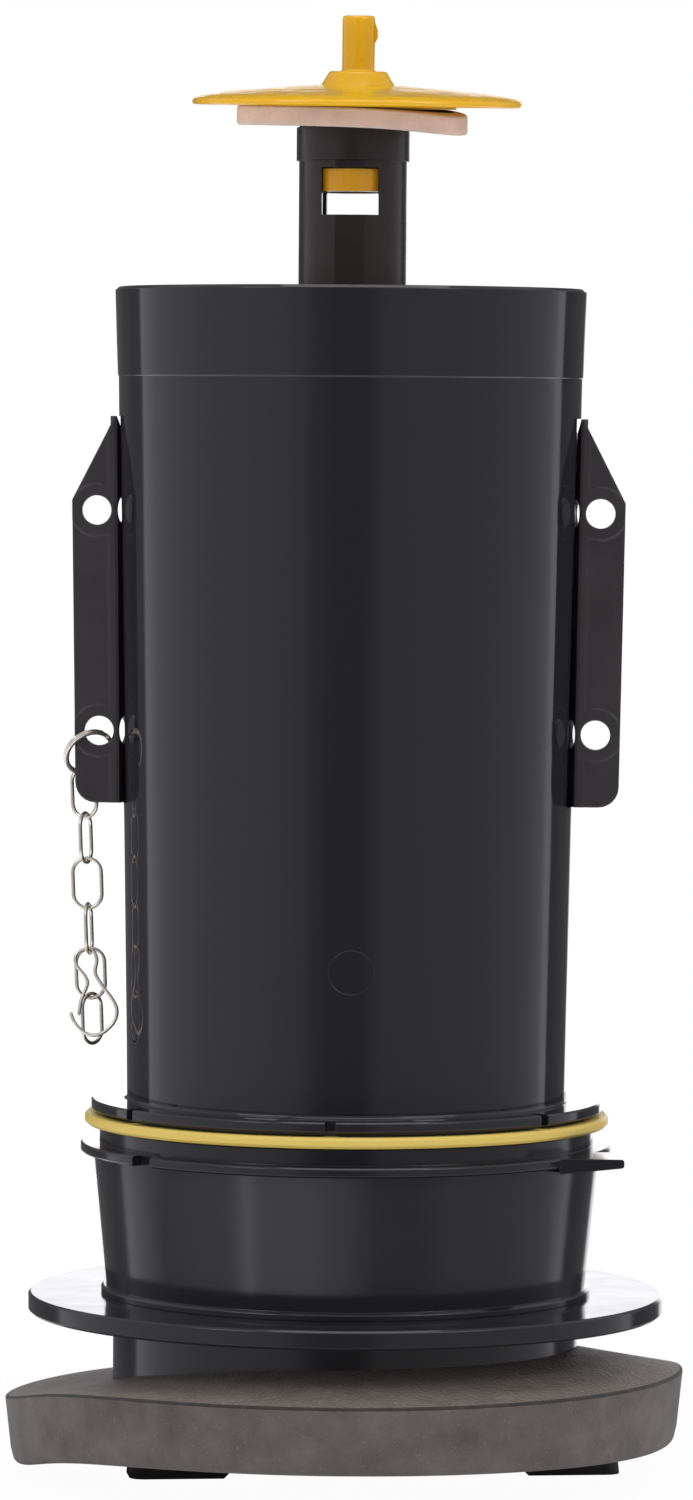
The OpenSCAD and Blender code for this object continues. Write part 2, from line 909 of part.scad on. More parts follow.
// Ring that snaps on the spigot and holds the seal from below
module seal_retainer() {
    color("#26252b")
        rotate_extrude(convexity = 4)
            polygon([
                [spigot_r - spigot_wall, lip_z - spigot_h - press_gap],
                [spigot_r + press_gap, lip_z - spigot_h - press_gap],
                [spigot_r + press_gap, seal_z - press_gap],
                [retainer_r, seal_z - press_gap],
                [retainer_r, seal_z - retainer_t],
                [retainer_r - retainer_lead, seal_z - retainer_t - retainer_lead],
                [spigot_r - spigot_wall, seal_z - retainer_t - retainer_lead]
            ]);
}

module canister_seal() {
    color("#dcbc50")
        rotate_extrude(convexity = 4)
            polygon([
                [seal_in_r, seal_z],
                [seal_d / 2 - seal_edge_r, seal_z],
                [seal_d / 2, seal_z + seal_edge_r],
                [seal_d / 2, seal_top - seal_edge_r],
                [seal_d / 2 - seal_edge_r, seal_top],
                [seal_in_r, seal_top]
            ]);
}

// Height of the dome above its edge, at a share of the way from the edge to the hub
function dome_rise(share) = cap_rise * pow(share, cap_dome_power);

// Cap: domed disc, hub, hollow nipple and a hollow plug with two lugs
module cap() {
    edge_r = cap_r - cap_nose;
    tip_z = nipple_z + nipple_l;
    color("#e0aa28")
    difference() {
        union() {
            rotate_extrude(convexity = 6)
                polygon(concat(
                    [
                        [nipple_bore_d / 2, cap_z],
                        [cap_boss_r, cap_z],
                        [cap_boss_r, disc_z],
                        [edge_r, disc_z]
                    ],
                    arc(edge_r, disc_z + cap_nose, cap_nose, -2 * arc_step, arc_step, arc_step),
                    [for (i = [0 : cap_steps]) [
                        edge_r - (edge_r - cap_hub_low_r) * i / cap_steps,
                        disc_z + cap_edge_t + dome_rise(i / cap_steps)
                    ]],
                    [
                        [cap_hub_top_r, nipple_z - cap_hub_round],
                        [cap_hub_top_r - cap_hub_round, nipple_z],
                        [nipple_r + nipple_flare, nipple_z],
                        [nipple_r, nipple_z + 2 * nipple_flare],
                        [nipple_r, tip_z - nipple_round]
                    ],
                    arc(nipple_r - nipple_round, tip_z - nipple_round, nipple_round, arc_step, arc_step, 90),
                    [[nipple_bore_d / 2, tip_z]]
                ));
            cap_plug();
            cap_nub();
        }
        translate([0, 0, plug_z - join])
            cylinder(r = plug_r - plug_wall, h = cap_z + cap_skin - plug_z);
        translate([0, 0, cap_z - join])
            cylinder(r = nipple_bore_d / 2, h = tip_z);
    }
}

// Plug that turns in the post's bore, with a lug at the front and one at the back
module cap_plug() {
    translate([0, 0, plug_z])
        cylinder(r = plug_r, h = cap_z + join - plug_z);
    intersection() {
        translate([0, 0, lug_z])
            cylinder(r = lug_r, h = lug_h);
        translate([-lug_w / 2, -lug_r, lug_z])
            cube([lug_w, 2 * lug_r, lug_h]);
    }
}

// Slim wedge on the right side of the nipple, where the tube catches
module cap_nub() {
    translate([0, nub_w / 2, nipple_z + nub_low])
        rotate([90, 0, 0])
            linear_extrude(nub_w)
                polygon([
                    [nipple_r - nub_root, 0],
                    [nipple_r, 0],
                    [nipple_r + nub_reach, nub_reach],
                    [nipple_r + nub_reach, nub_flat],
                    [nipple_r, nub_h],
                    [nipple_r - nub_root, nub_h]
                ]);
}

module cap_washer() {
    color("#cdb09e")
        translate([washer_shift, 0, washer_z])
            tube(washer_d / 2, washer_in_r, washer_t + cap_gap);
}

// Split ring through the lower left ear hole
module chain_ring() {
    color("#a7a39b")
        translate(ring_centre)
            rotate([0, ring_slant, 0])
                rotate([0, 0, ring_tilt])
                    rotate([90, 0, 0])
                        rotate_extrude()
                            translate([ring_r, 0])
                                circle(r = ring_wire_r, $fn = wire_fn);
}

// Places its children on the leaning line of the chain, below the ring's lowest point
module on_chain(drop, side) {
    translate(ring_low)
        rotate([0, -chain_lean, 0])
            translate([0, side, link_top_z - drop])
                children();
}

// One closed link hanging from the origin, facing the front before it is turned
module link(turn) {
    straight = link_rise - 2 * bow_r;
    color("#aaa69e")
        rotate([0, 0, turn]) {
            for (x = [-bow_r, bow_r])
                translate([x, 0, -bow_r - straight])
                    cylinder(r = wire_r, h = straight, $fn = wire_fn);
            for (end = [0, 1])
                translate([0, 0, -bow_r - end * straight])
                    rotate([90, 0, 0])
                        rotate([0, 0, end * 180])
                            rotate_extrude(angle = 180)
                                translate([bow_r, 0])
                                    circle(r = wire_r, $fn = wire_fn);
        }
}

module chain_link_1() { on_chain(0, 0) link(link_turns[0]); }
module chain_link_2() { on_chain(link_pitch, 0) link(link_turns[1]); }
module chain_link_3() { on_chain(2 * link_pitch, 0) link(link_turns[2]); }
module chain_link_4() { on_chain(3 * link_pitch, 0) link(link_turns[3]); }
module chain_link_5() { on_chain(4 * link_pitch - share_rise, share_step) link(link_turns[4]); }
module chain_link_6() { on_chain(5 * link_pitch - share_rise, share_step) link(link_turns[5]); }

// A smooth curve through four points, at t from 0 to 1 between the middle two
function between(a, b, c, d, t) =
    0.5 * (2 * b + (c - a) * t + (2 * a - 5 * b + 4 * c - d) * t * t
        + (3 * b - a - 3 * c + d) * t * t * t);

function at(list, i) = list[max(0, min(len(list) - 1, i))];

function smooth(list, steps) = [
    for (i = [0 : len(list) - 2], k = [0 : (i == len(list) - 2 ? steps : steps - 1)])
        between(at(list, i - 1), at(list, i), at(list, i + 1), at(list, i + 2), k / steps)
];

// Round wire along a flat curve in the XZ plane
module flat_wire(path, radius) {
    sides = hook_sides;
    count = len(path);
    points = [
        for (i = [0 : count - 1])
            let (
                run = at(path, i + 1) - at(path, i - 1),
                across = [-run[1], run[0]] / norm(run)
            )
            for (k = [0 : sides - 1])
                let (a = 360 * k / sides)
                [
                    path[i][0] + radius * cos(a) * across[0],
                    radius * sin(a),
                    path[i][1] + radius * cos(a) * across[1]
                ]
    ];
    faces = concat(
        [[for (k = [0 : sides - 1]) k]],
        [[for (k = [sides - 1 : -1 : 0]) (count - 1) * sides + k]],
        [for (i = [0 : count - 2], k = [0 : sides - 1])
            [
                i * sides + k,
                (i + 1) * sides + k,
                (i + 1) * sides + (k + 1) % sides,
                i * sides + (k + 1) % sides
            ]]
    );
    polyhedron(points = points, faces = faces, convexity = 6);
}

module chain_hook() {
    color("#a7a39b")
        on_chain(4 * link_pitch - share_rise, -share_step)
            rotate([-hook_forward, 0, 0])
                flat_wire(smooth(hook_path, hook_steps), hook_wire_d / 2);
}

valve_body();
tank_flange();
post_spider();
seat_ring();
guide_post();
clamp_screw();
screw_washer();
clamp_bar();
clamp_nut();
tank_gasket();
canister_shell();
canister_foot();
left_ear();
right_ear();
guide_tube();
guide_spider();
seal_retainer();
canister_seal();
cap();
cap_washer();
chain_ring();
chain_link_1();
chain_link_2();
chain_link_3();
chain_link_4();
chain_link_5();
chain_link_6();
chain_hook();
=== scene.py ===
import math

import bpy
import numpy as np
from mathutils import Matrix, Vector


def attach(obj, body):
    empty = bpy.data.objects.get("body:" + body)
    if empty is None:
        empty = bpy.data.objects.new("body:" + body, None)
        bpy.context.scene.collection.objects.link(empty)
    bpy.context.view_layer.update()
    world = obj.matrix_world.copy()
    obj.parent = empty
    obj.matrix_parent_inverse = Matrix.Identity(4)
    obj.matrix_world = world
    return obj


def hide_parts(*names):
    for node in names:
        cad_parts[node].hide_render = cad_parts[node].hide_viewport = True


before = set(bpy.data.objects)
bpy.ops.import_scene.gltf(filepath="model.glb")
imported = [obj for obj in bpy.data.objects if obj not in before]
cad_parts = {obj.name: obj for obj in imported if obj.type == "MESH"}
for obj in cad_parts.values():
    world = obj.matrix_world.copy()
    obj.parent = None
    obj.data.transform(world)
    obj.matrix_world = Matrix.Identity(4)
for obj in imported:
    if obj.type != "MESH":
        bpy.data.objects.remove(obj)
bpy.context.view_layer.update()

# Camera
# It stands level with the canister's upper third, 1.24 m away, a few degrees to the valve's
# right, and looks a little down. The photograph is 693 x 1500, so the sensor's 36 mm is its height.
MM = 0.001
eye_distance = 1241 * MM
eye_height = 185.7 * MM
eye_turn = math.radians(3.5)
aim_height = 126.5 * MM
aim_left = 0.44 * MM
photo_height_px = 1500
focal_px = 7141
roll = math.radians(0.4)

camera_data = bpy.data.cameras.new("camera")
camera_data.sensor_width = 36
camera_data.lens = focal_px / photo_height_px * camera_data.sensor_width
camera = bpy.data.objects.new("camera", camera_data)
bpy.context.scene.collection.objects.link(camera)
bpy.context.scene.camera = camera
eye = Vector((eye_distance * math.sin(eye_turn), -eye_distance * math.cos(eye_turn), eye_height))
look = Vector((-aim_left, 0, aim_height)) - eye
camera.location = eye
camera.rotation_mode = "QUATERNION"
camera.rotation_quaternion = look.to_track_quat("-Z", "Y") @ Matrix.Rotation(roll, 3, "Z").to_quaternion()


# Studio
# A white sheet on a dim table, soft boxes at the sides that end sharply behind the valve, and above
# them a tent of soft light that is open behind. Upright walls stay dark in their middle and level
# tops shine white, and the camera itself sees plain white.
def linear(hex_colour, alpha=1.0):
    """An sRGB hex colour as the linear RGBA that a shader socket takes."""
    part = np.array([int(hex_colour[i:i + 2], 16) for i in (1, 3, 5)]) / 255
    value = np.where(part <= 0.04045, part / 12.92, ((part + 0.055) / 1.055) ** 2.4)
    return (*value, alpha)


def add(tree, kind, inputs=None, stops=(), **settings):
    """Adds a node, sets its properties and its ramp's grey stops, and fills or links its inputs.

    An input, by name or number, takes a constant, a socket, or a node, and then its first output.
    """
    made = tree.nodes.new(kind)
    for name, value in settings.items():
        setattr(made, name, value)
    for _ in stops[2:]:
        made.color_ramp.elements.new(0.5)
    for number, (place, grey) in enumerate(stops):
        made.color_ramp.elements[number].position = place
        made.color_ramp.elements[number].color = (grey, grey, grey, 1)
    for name, value in (inputs or {}).items():
        if isinstance(value, bpy.types.Node):
            value = next(socket for socket in value.outputs if socket.enabled)
        if isinstance(value, bpy.types.NodeSocket):
            tree.links.new(value, made.inputs[name])
        else:
            made.inputs[name].default_value = value
    return made


def new_material(name):
    """An empty node material and its tree."""
    made = bpy.data.materials.new(name)
    made.use_nodes = True
    made.node_tree.nodes.clear()
    return made, made.node_tree


def new_piece(name, points, faces):
    """A mesh object at the origin, from an array of points and a list of faces."""
    mesh = bpy.data.meshes.new(name)
    mesh.from_pydata(np.reshape(points, (-1, 3)).tolist(), [], faces)
    mesh.update()
    made = bpy.data.objects.new(name, mesh)
    bpy.context.scene.collection.objects.link(made)
    return made


def soft_box(name, place, aim, width, height, watts):
    """An area lamp at place, facing aim."""
    data = bpy.data.lights.new(name, "AREA")
    data.shape = "RECTANGLE"
    data.size, data.size_y, data.energy = width, height, watts
    lamp = bpy.data.objects.new(name, data)
    bpy.context.scene.collection.objects.link(lamp)
    lamp.location = place
    lamp.rotation_mode = "QUATERNION"
    lamp.rotation_quaternion = (Vector(aim) - Vector(place)).to_track_quat("-Z", "Z")


bpy.context.scene.view_settings.view_transform = "Standard"
soft_box("box_left", (-0.80, -0.75, 0.95), (0, 0, 0.12), 0.50, 0.50, 3.5)
soft_box("box_right", (0.85, -0.65, 0.95), (0, 0, 0.12), 0.50, 0.50, 3.5)
soft_box("box_top", (0.05, -0.10, 1.30), (0, 0, 0.15), 0.80, 0.80, 3.0)

# The room round the valve, as strength over the turn from the camera, in degrees to the right. It
# is behind the valve at both ends of a list, and at the camera in its middle. The room holds level
# with the valve, the table well below it, and the tent above. The sheet round the foot is lowest.
room_peak = 2.0
room = [(-180, 2.0), (-175, 2.0), (-173, 0.14), (-160, 0.13), (-136, 0.15), (-127, 0.20), (-125, 0.97),
        (-112, 0.78), (-80, 0.68), (-48, 0.59), (-32, 0.53), (-24, 0.45), (-16, 0.25), (-9, 0.17),
        (8, 0.17), (16, 0.38), (48, 0.44), (80, 0.50), (110, 0.59), (118, 0.70), (122, 0.95),
        (126, 0.90), (128, 0.13), (160, 0.13), (163, 2.0), (180, 2.0)]
table = [(-180, 0.25), (-130, 0.30), (-126, 0.97), (-112, 0.80), (-96, 0.40), (-72, 0.65), (-57, 0.75),
         (-51, 1.15), (-47, 1.75), (-43, 1.2), (-37, 0.95), (-16, 0.98), (0, 0.72), (14, 0.34),
         (32, 0.32), (50, 0.50), (112, 0.52), (116, 0.83), (123, 0.88), (126, 0.20), (180, 0.20)]
tent = [(-180, 0.15), (-150, 0.15), (-135, 0.65), (135, 0.65), (150, 0.15), (180, 0.15)]
sheet_strength = 1.55
room_top, tent_low = math.sin(math.radians(9.5)), math.sin(math.radians(12))
backdrop_low = math.sin(math.radians(-6))
backdrop_dim = (0.6, 0.6, 0.6, 1)
table_top, table_low = math.sin(math.radians(-11)), math.sin(math.radians(-14))
sheet_top, sheet_low = math.sin(math.radians(-20)), math.sin(math.radians(-26))
light_tint = (1.0, 0.985, 1.035, 1)


def stops_round(strengths):
    """Strengths over -180 to 180 degrees as a ramp's stops, as shares of the room's peak."""
    return [((angle + 180) / 360, strength / room_peak) for angle, strength in strengths]


world = bpy.data.worlds.new("studio")
bpy.context.scene.world = world
world.use_nodes = True
sky = world.node_tree
sky.nodes.clear()
path = add(sky, "ShaderNodeLightPath")
way = add(sky, "ShaderNodeSeparateXYZ", {0: add(sky, "ShaderNodeTexCoord").outputs["Generated"]})
height = way.outputs["Z"]
ahead = add(sky, "ShaderNodeMath", {0: way.outputs["Y"], 1: -1.0}, operation="MULTIPLY")
turn = add(sky, "ShaderNodeMath", {0: way.outputs["X"], 1: ahead}, operation="ARCTAN2")
turn = add(sky, "ShaderNodeMath", {0: turn, 1: eye_turn}, operation="SUBTRACT")
turn = add(sky, "ShaderNodeMath", {0: turn, 1: math.pi, 2: -math.pi}, operation="WRAP")
share = add(sky, "ShaderNodeMath", {0: turn, 1: 0.5 / math.pi, 2: 0.5}, operation="MULTIPLY_ADD")
wall = add(sky, "ShaderNodeValToRGB", {"Fac": share}, stops_round(room))
low = add(sky, "ShaderNodeValToRGB", {"Fac": share}, stops_round(table))
upper = add(sky, "ShaderNodeValToRGB", {"Fac": share}, stops_round(tent))
under = add(sky, "ShaderNodeMath", {0: height, 1: backdrop_low}, operation="LESS_THAN")
dimmed = add(sky, "ShaderNodeMix", {"Factor": 1.0, "A": wall, "B": backdrop_dim},
             data_type="RGBA", blend_type="DARKEN")
around = add(sky, "ShaderNodeMix", {"Factor": under, "A": wall, "B": dimmed}, data_type="RGBA")
sink = add(sky, "ShaderNodeMapRange", {"Value": height, "From Min": table_top, "From Max": table_low})
around = add(sky, "ShaderNodeMix", {"Factor": sink, "A": around, "B": low}, data_type="RGBA")
sheet_share = sheet_strength / room_peak
sheet_light = (sheet_share, sheet_share, sheet_share, 1)
sink = add(sky, "ShaderNodeMapRange", {"Value": height, "From Min": sheet_top, "From Max": sheet_low})
around = add(sky, "ShaderNodeMix", {"Factor": sink, "A": around, "B": sheet_light}, data_type="RGBA")
rise = add(sky, "ShaderNodeMapRange", {"Value": height, "From Min": room_top, "From Max": tent_low})
around = add(sky, "ShaderNodeMix", {"Factor": rise, "A": around, "B": upper}, data_type="RGBA")
around = add(sky, "ShaderNodeMix", {"Factor": 1.0, "A": around, "B": light_tint},
             data_type="RGBA", blend_type="MULTIPLY")
seen = add(sky, "ShaderNodeBackground", {"Color": (1, 1, 1, 1), "Strength": 1.0})
lit = add(sky, "ShaderNodeBackground", {"Color": around, "Strength": room_peak})
pick = add(sky, "ShaderNodeMixShader", {0: path.outputs["Is Camera Ray"], 1: lit, 2: seen})
add(sky, "ShaderNodeOutputWorld", {"Surface": pick})

# The sheet is white paper. The camera sees it glow white, dimmed a trace near the valve by a faint
# painted shadow, and all else sees a small matt disc, past which only the studio shows.
floor_half, floor_drop = 4.0, 0.2 * MM
sheet_edge = 0.12
# How far the sheet's painted shadow reaches round the valve, and how dim it is at its darkest.
painted_shadow_near, painted_shadow_far, painted_shadow_dim = 0.07, 0.22, 0.97
corners = [(x * floor_half, y * floor_half, -floor_drop) for x, y in ((-1, -1), (1, -1), (1, 1), (-1, 1))]
floor = new_piece("floor", corners, [(0, 1, 2, 3)])
paper, tree = new_material("white_paper")
camera_ray = add(tree, "ShaderNodeLightPath").outputs["Is Camera Ray"]
matt = add(tree, "ShaderNodeBsdfDiffuse", {"Color": linear("#f2f2f2")})
glow = add(tree, "ShaderNodeEmission", {"Color": (1, 1, 1, 1), "Strength": 1.0})
open_air = add(tree, "ShaderNodeBsdfTransparent", {"Color": (1, 1, 1, 1)})
place = add(tree, "ShaderNodeTexCoord").outputs["Object"]
far = add(tree, "ShaderNodeVectorMath", {0: place}, operation="LENGTH")
# Painted shadow: the glow the camera sees is a trace dimmer near the valve and fades to full white further
# out.
painted_shadow_fade = add(tree, "ShaderNodeMapRange", {"Value": far, "From Min": painted_shadow_near, "From Max": painted_shadow_far,
                                        "To Min": painted_shadow_dim, "To Max": 1.0})
share = add(tree, "ShaderNodeMath", {0: camera_ray, 1: painted_shadow_fade}, operation="MULTIPLY")
shown = add(tree, "ShaderNodeMixShader", {0: share, 1: matt, 2: glow})
beyond = add(tree, "ShaderNodeMath", {0: far, 1: sheet_edge}, operation="GREATER_THAN")
other_ray = add(tree, "ShaderNodeMath", {0: 1.0, 1: camera_ray}, operation="SUBTRACT")
hidden = add(tree, "ShaderNodeMath", {0: beyond, 1: other_ray}, operation="MULTIPLY")
mixed = add(tree, "ShaderNodeMixShader", {0: hidden, 1: shown, 2: open_air})
add(tree, "ShaderNodeOutputMaterial", {"Surface": mixed})
floor.data.materials.append(paper)


# Valve body
# Shank, tower, flange, seat ring and spider are injection-moulded in glossy black ABS. The
# moulding leaves a faint waviness in its shine, and every edge is slightly round.
def dress(material, *names):
    """Gives CAD nodes one material."""
    for name in names:
        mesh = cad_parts[name].data
        mesh.materials.clear()
        mesh.materials.append(material)


def moulded(name, colour, roughness, wave=0.02 * MM, wave_size=7.0 * MM, grain=0.001 * MM,
            grain_size=0.4 * MM, edge=0.25 * MM, soft=0.0, soft_depth=2.0 * MM, ior=1.5, gate=None):
    """Moulded plastic or rubber: a faint waviness with clouds of shine, a fine grain, round edges.

    gate is the middle, radius, width and height of a round gate mark on the surface.
    """
    made, tree = new_material(name)
    spread = 0.15
    place = add(tree, "ShaderNodeTexCoord").outputs["Object"]
    waves = add(tree, "ShaderNodeTexNoise", {"Vector": place, "Scale": 1 / wave_size, "Detail": 1.0})
    grains = add(tree, "ShaderNodeTexNoise", {"Vector": place, "Scale": 1 / grain_size, "Detail": 2.0})
    round_edge = add(tree, "ShaderNodeBevel", {"Radius": edge}, samples=6)
    relief = add(tree, "ShaderNodeBump", {"Height": waves, "Distance": wave, "Strength": 1.0,
                                          "Normal": round_edge})
    relief = add(tree, "ShaderNodeBump", {"Height": grains, "Distance": grain, "Strength": 1.0,
                                          "Normal": relief})
    if gate:
        middle, radius, width, height = gate
        reach = add(tree, "ShaderNodeVectorMath", {0: place, 1: middle}, operation="DISTANCE")
        away = add(tree, "ShaderNodeMath", {0: reach, 1: radius}, operation="SUBTRACT")
        away = add(tree, "ShaderNodeMath", {0: away}, operation="ABSOLUTE")
        rim = add(tree, "ShaderNodeMapRange", {"Value": away, "From Min": width / 2, "From Max": 0.0},
                  interpolation_type="SMOOTHSTEP")
        relief = add(tree, "ShaderNodeBump", {"Height": rim, "Distance": height, "Strength": 1.0,
                                              "Normal": relief})
    shine = add(tree, "ShaderNodeMapRange", {
        "Value": waves, "From Min": 0.3, "From Max": 0.7,
        "To Min": roughness * (1 - spread), "To Max": roughness * (1 + spread)})
    skin = add(tree, "ShaderNodeBsdfPrincipled", {
        "Base Color": linear(colour), "Roughness": shine, "IOR": ior, "Subsurface Weight": soft,
        "Subsurface Scale": soft_depth, "Normal": relief})
    add(tree, "ShaderNodeOutputMaterial", {"Surface": skin})
    return made


gloss_black = moulded("gloss_black_abs", "#1c1b1f", 0.13)
dress(gloss_black, "valve_body", "tank_flange", "seat_ring", "post_spider")


# Guide post
# A hollow post moulded in black acetal and pressed into the body's spider. It is a little duller
# and browner than the ABS round it.
satin_black = moulded("satin_black_acetal", "#251c1a", 0.28, grain=0.003 * MM)
dress(satin_black, "guide_post")


# Clamp screw, its washer and its nut
# Turned and pressed from stainless steel, with fine marks of the tools that dull their shine. The
# nut, on the screw under the clamp bar, draws the bar up under the bowl.
def steel(name, colour, roughness, mark, mark_size):
    """Bare steel with fine marks that have a depth and a size."""
    made, tree = new_material(name)
    spread = 0.2
    place = add(tree, "ShaderNodeTexCoord").outputs["Object"]
    marks = add(tree, "ShaderNodeTexNoise", {"Vector": place, "Scale": 1 / mark_size, "Detail": 3.0})
    relief = add(tree, "ShaderNodeBump", {"Height": marks, "Distance": mark, "Strength": 1.0})
    shine = add(tree, "ShaderNodeMapRange", {
        "Value": marks, "From Min": 0.3, "From Max": 0.7,
        "To Min": roughness * (1 - spread), "To Max": roughness * (1 + spread)})
    skin = add(tree, "ShaderNodeBsdfPrincipled", {
        "Base Color": linear(colour), "Metallic": 1.0, "Roughness": shine, "Normal": relief})
    add(tree, "ShaderNodeOutputMaterial", {"Surface": skin})
    return made


screw_steel = steel("turned_stainless", "#c9c7c2", 0.30, 0.004 * MM, 0.6 * MM)
dress(screw_steel, "clamp_screw", "screw_washer", "clamp_nut")


# Clamp bar
# A bar moulded in glass-filled black nylon, whose fibres leave a fine matt grain. Its two feet
# carry the valve in the picture.
bar_nylon = moulded("satin_black_nylon", "#29282b", 0.42, grain=0.006 * MM, grain_size=0.3 * MM)
dress(bar_nylon, "clamp_bar")


# Tank gasket
# Thick closed-cell foam rubber, cut from sheet and pushed on the shank a little askew, so that its
# front and right stand higher and its bore is dragged up. Pale cells show on its faces, its cut
# upper edge is dark, and its lower edge is round.
def line(start, end, count):
    """Points from start up to, but not with, end."""
    start, end = np.asarray(start, float), np.asarray(end, float)
    return start + (end - start) * np.arange(count)[:, None] / count


def round_corner(centre_r, centre_z, radius, start, end, count):
    """Points on an arc about (centre_r, centre_z), from one angle in degrees to another."""
    angles = np.radians(np.linspace(start, end, count))
    return np.stack([centre_r + radius * np.cos(angles), centre_z + radius * np.sin(angles)], axis=1)


def grid_faces(rows, columns, closed=True):
    """Quads over rows of points that each run round. Closed joins the last row to the first."""
    row = np.arange(rows if closed else rows - 1)[:, None] * columns
    after = (row + columns) % (rows * columns)
    here = np.arange(columns)
    beside = (here + 1) % columns
    quads = np.stack([row + here, after + here, after + beside, row + beside], axis=-1)
    return quads.reshape(-1, 4).tolist()


def ring_mesh(name, profile, steps, shape, slots=None):
    """Closes a profile of (radius, height) points round Z: point k at turn a is shape(r_k, z_k, a).

    slots gives the material slot of the strip after each point.
    """
    radius, height = np.transpose(profile)
    turns = np.linspace(0, 2 * math.pi, steps, endpoint=False)[:, None]
    made = new_piece(name, shape(radius, height, turns), grid_faces(steps, len(profile)))
    mesh = made.data
    mesh.polygons.foreach_set("use_smooth", [True] * len(mesh.polygons))
    if slots is not None:
        mesh.polygons.foreach_set("material_index", list(slots) * steps)
    mesh.set_sharp_from_angle(angle=math.radians(35))
    mesh.update()
    return made


def foam(name, colour, pale, cell, depth, soft=0.0, rough=0.85, cloud=0.15, cloud_size=8.0 * MM,
         specks=0.86):
    """Closed-cell foam: clouds of tone, and round cells that also give a bump of the depth named.

    A cell is pale where its own random value is past specks.
    """
    made, tree = new_material(name)
    place = add(tree, "ShaderNodeTexCoord").outputs["Object"]
    cells = add(tree, "ShaderNodeTexVoronoi", {"Vector": place, "Scale": 1 / cell, "Randomness": 1.0})
    clouds = add(tree, "ShaderNodeTexNoise", {"Vector": place, "Scale": 1 / cloud_size, "Detail": 5.0,
                                              "Roughness": 0.6})
    pick = add(tree, "ShaderNodeSeparateColor", {0: cells.outputs["Color"]})
    chosen = add(tree, "ShaderNodeMapRange", {"Value": pick, "From Min": specks, "From Max": 1.0})
    core = add(tree, "ShaderNodeMapRange", {"Value": cells, "From Min": 0.10, "From Max": 0.45,
                                            "To Min": 1.0, "To Max": 0.0})
    speck = add(tree, "ShaderNodeMath", {0: chosen, 1: core}, operation="MULTIPLY")
    tone = add(tree, "ShaderNodeMapRange", {"Value": clouds, "From Min": 0.3, "From Max": 0.7,
                                            "To Min": 1 - cloud, "To Max": 1 + cloud})
    base = add(tree, "ShaderNodeVectorMath", {0: linear(colour)[:3], "Scale": tone}, operation="SCALE")
    tint = add(tree, "ShaderNodeMix", {"Factor": speck, "A": base, "B": linear(pale)}, data_type="RGBA")
    pits = add(tree, "ShaderNodeBump", {"Height": cells, "Distance": depth, "Strength": 1.0})
    skin = add(tree, "ShaderNodeBsdfPrincipled", {
        "Base Color": tint, "Roughness": rough, "IOR": 1.4, "Subsurface Weight": soft,
        "Subsurface Scale": 2.0 * MM, "Sheen Weight": 0.15, "Sheen Roughness": 0.6, "Normal": pits})
    add(tree, "ShaderNodeOutputMaterial", {"Surface": skin})
    return made


gasket_low, gasket_high, gasket_thick = 57.8 * MM, 59.1 * MM, 12.4 * MM
gasket_bore = 40.53 * MM
gasket_low_round, gasket_top_round = 2.0 * MM, 0.45 * MM
gasket_back, gasket_lift = 0.2 * MM, 7.0 * MM
gasket_peak, bend_middle, bend_width = math.radians(28), -0.06, 0.364
side_droop = 1.2 * MM
bore_drag, drag_more, drag_peak = 3.0 * MM, 1.0 * MM, math.radians(30)
dent_deep, dent_turn, dent_width = 1.4 * MM, math.radians(-45), math.radians(22)
swell_three, swell_seven = 0.12 * MM, 0.07 * MM
side_low = gasket_low + (gasket_high - gasket_low) * gasket_low_round / gasket_thick
profile = np.vstack([
    line((gasket_bore, 0), (gasket_low - gasket_low_round, 0), 12),
    round_corner(gasket_low - gasket_low_round, gasket_low_round, gasket_low_round, -90, -6, 7),
    line((side_low, gasket_low_round), (gasket_high, gasket_thick - gasket_top_round), 8)[1:],
    round_corner(gasket_high - gasket_top_round, gasket_thick - gasket_top_round, gasket_top_round,
                 0, 90, 6),
    line((gasket_high - gasket_top_round, gasket_thick), (gasket_bore, gasket_thick), 12)[1:],
    line((gasket_bore, gasket_thick), (gasket_bore, 0), 6)])

# Bottom, side and bore are plain foam, the upper corner is its cut edge, and the top is its skin.
strips = [0] * 26 + [1] * 5 + [2] * 12 + [0] * 6


def gasket_shape(radius, height, turn):
    """Lifts the ring's front and right by a bend, and drags its bore up the shank.

    With t the turn from the front to the right and s the share of the way from bore to rim:
    bend = (1 + tanh((cos(t - peak) - middle) / width)) / 2,
    drag = bore_drag + drag_more cos(t - drag_peak) - dent_deep exp(-((t - dent_turn) / dent_width)^2),
    z' = z + back + lift bend - side_droop max(0, sin t)^2 (1 - z / thick) + drag (1 - s),
    r' = r + s (swell_three sin(3t + 1) + swell_seven sin(7t)).
    """
    ahead = np.remainder(turn + 1.5 * math.pi, 2 * math.pi) - math.pi
    bend = (1 + np.tanh((np.cos(ahead - gasket_peak) - bend_middle) / bend_width)) / 2
    droop = side_droop * np.maximum(0, np.sin(ahead)) ** 2
    dent = dent_deep * np.exp(-((ahead - dent_turn) / dent_width) ** 2)
    drag = bore_drag + drag_more * np.cos(ahead - drag_peak) - dent
    share = np.clip((radius - gasket_bore) / (gasket_high - gasket_bore), 0, 1)
    out = radius + share * (swell_three * np.sin(3 * ahead + 1) + swell_seven * np.sin(7 * ahead))
    lifted = height + gasket_back + gasket_lift * bend + drag * (1 - share)
    lifted = lifted - droop * (1 - height / gasket_thick)
    return np.stack([out * np.cos(turn), out * np.sin(turn), lifted], axis=-1)


gasket = ring_mesh("gasket", profile, 240, gasket_shape, strips)
for material in (
        foam("closed_cell_foam", "#635b59", "#8d8580", 0.40 * MM, 0.06 * MM, cloud=0.30, specks=0.90),
        foam("foam_cut_edge", "#322d2c", "#4a4442", 0.42 * MM, 0.06 * MM, cloud=0.4, cloud_size=2.0 * MM),
        foam("foam_skin", "#6b6058", "#a89f90", 0.70 * MM, 0.25 * MM, rough=0.5, cloud=0.25,
             cloud_size=4.0 * MM)):
    gasket.data.materials.append(material)
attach(gasket, "base")
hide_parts("tank_gasket")


